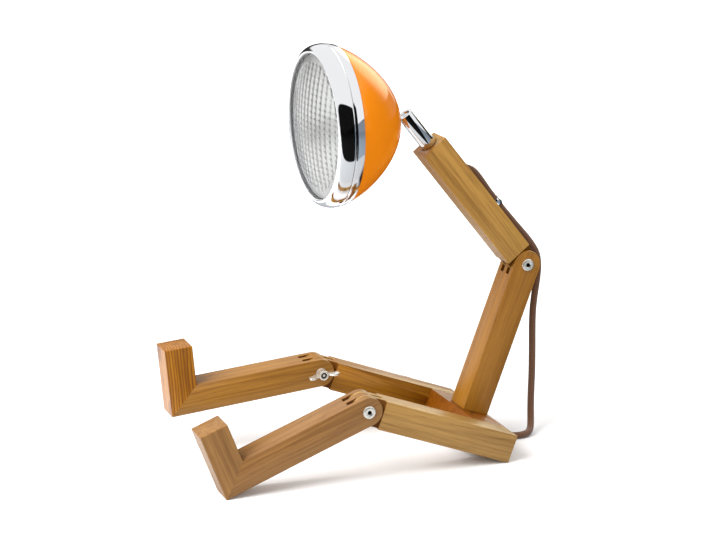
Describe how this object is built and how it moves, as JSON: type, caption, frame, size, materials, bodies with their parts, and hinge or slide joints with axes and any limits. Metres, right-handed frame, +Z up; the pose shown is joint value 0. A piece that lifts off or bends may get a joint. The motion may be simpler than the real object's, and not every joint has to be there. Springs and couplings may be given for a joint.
{
  "type": "desk lamp",
  "caption": "Seated, jointed wooden desk lamp: bolted bar legs, torso and arm, chrome swivel neck and a round enamelled headlamp with a fluted lens on a textile cord.",
  "frame": {"origin": "on the floor, midway between the lamp's sides and midway from its left toes to the back of its elbow", "axes": "+Z up, the lamp faces -Y, its left side is +X"},
  "size_m": [0.2553, 0.3802, 0.406],
  "materials": {
    "oiled_oak": "satin, oiled, grain along each bar",
    "dowel_beech": "plain, turned",
    "nickel_steel": "nickel plated",
    "chrome_parts": "polished",
    "orange_enamel": "glossy enamel",
    "brass_parts": "turned",
    "nylon": "natural nylon",
    "lead_sleeve": "insulated twin lead",
    "ceramic_holder": "glazed",
    "clear_bulb": "clear",
    "reflector_metal": "bright",
    "lens_glass": "clear, fluted",
    "seal_rubber": "matte",
    "brown_textile": "braided",
    "brown_plastic": "satin"
  },
  "bodies": {
    "seat_and_torso": {"hip_block": "oiled_oak", "left_thigh": "oiled_oak", "right_thigh": "oiled_oak", "torso_bar": "oiled_oak", "hip_dowels": "dowel_beech", "torso_dowels": "dowel_beech", "torso_screw": "nickel_steel", "elbow_bolt": "nickel_steel", "elbow_washer": "nickel_steel", "cord_drop": "brown_textile", "cord_tail": "brown_textile", "cord_coil": "brown_textile", "coil_straps": "seal_rubber", "plug_lead": "brown_textile", "switch_base": "brown_plastic", "switch_cover": "brown_plastic", "switch_screws": "nickel_steel", "plug_body": "brown_plastic", "plug_pins": "brass_parts"},
    "elbow_wing_nut": {"elbow_wing_nut": "nickel_steel"},
    "left_leg": {"left_shin": "oiled_oak", "left_foot": "oiled_oak", "left_foot_dowels": "dowel_beech", "left_knee_bolt": "nickel_steel", "left_knee_washer": "nickel_steel"},
    "left_knee_wing_nut": {"left_knee_wing_nut": "nickel_steel"},
    "right_leg": {"right_shin": "oiled_oak", "right_foot": "oiled_oak", "right_foot_dowels": "dowel_beech", "right_knee_bolt": "nickel_steel", "right_knee_washer": "nickel_steel"},
    "right_knee_wing_nut": {"right_knee_wing_nut": "nickel_steel"},
    "upper_arm": {"upper_arm": "oiled_oak", "neck_insert": "brass_parts", "neck_nipple": "brass_parts", "neck_glide": "nylon", "arm_lead": "lead_sleeve", "cord_bush": "brown_plastic", "cord_saddle": "chrome_parts", "saddle_screws": "nickel_steel", "nipple_ring": "brass_parts", "cord_on_arm": "brown_textile"},
    "neck_tube": {"neck_tube": "chrome_parts", "ball_seat": "nylon", "seat_spring": "nickel_steel"},
    "head": {"ball_stud": "chrome_parts", "head_lead": "lead_sleeve", "stud_washer": "chrome_parts", "stud_nut": "nickel_steel", "head_bowl": "orange_enamel", "bracket_cup": "nickel_steel", "lamp_holder": "ceramic_holder", "bulb": "clear_bulb", "reflector": "reflector_metal", "lens": "lens_glass", "lens_gasket": "seal_rubber", "bezel_ring": "chrome_parts", "bezel_clips": "nickel_steel", "bezel_screw": "nickel_steel"},
    "switch_rocker": {"switch_rocker": "brown_plastic"}
  },
  "joints": [
    {"name": "left_knee", "type": "hinge", "parent": "seat_and_torso", "child": "left_leg", "pos_m": [0.066, -0.02115, 0.06889], "axis": [1, 0, 0], "range_deg": [-50, 45]},
    {"name": "right_knee", "type": "hinge", "parent": "seat_and_torso", "child": "right_leg", "pos_m": [-0.066, -0.02115, 0.06889], "axis": [1, 0, 0], "range_deg": [-34, 61]},
    {"name": "elbow", "type": "hinge", "parent": "seat_and_torso", "child": "upper_arm", "pos_m": [0, 0.17214, 0.17839], "axis": [1, 0, 0], "range_deg": [-100, 30], "deforming": ["cord_drop"]},
    {"name": "neck_swivel", "type": "hinge", "parent": "upper_arm", "child": "neck_tube", "pos_m": [0, 0.07188, 0.30308], "axis": [0, -0.6266, 0.7793], "range_deg": [-170, 170]},
    {"name": "head_tilt", "type": "hinge", "parent": "neck_tube", "child": "head", "pos_m": [0, 0.05058, 0.32958], "axis": [1, 0, 0], "range_deg": [-41, 38]},
    {"name": "elbow_nut_turn", "type": "hinge", "parent": "seat_and_torso", "child": "elbow_wing_nut", "pos_m": [-0.02, 0.17214, 0.17839], "axis": [-1, 0, 0], "range_deg": [0, 180]},
    {"name": "left_knee_nut_turn", "type": "hinge", "parent": "left_leg", "child": "left_knee_wing_nut", "pos_m": [0.046, -0.02115, 0.06889], "axis": [-1, 0, 0], "range_deg": [0, 180]},
    {"name": "right_knee_nut_turn", "type": "hinge", "parent": "right_leg", "child": "right_knee_wing_nut", "pos_m": [-0.046, -0.02115, 0.06889], "axis": [1, 0, 0], "range_deg": [0, 180]},
    {"name": "switch_rock", "type": "hinge", "parent": "seat_and_torso", "child": "switch_rocker", "pos_m": [-0.045, 0.1388, 0.0076], "axis": [0, 1, 0], "range_deg": [-16, 0]}
  ]
}
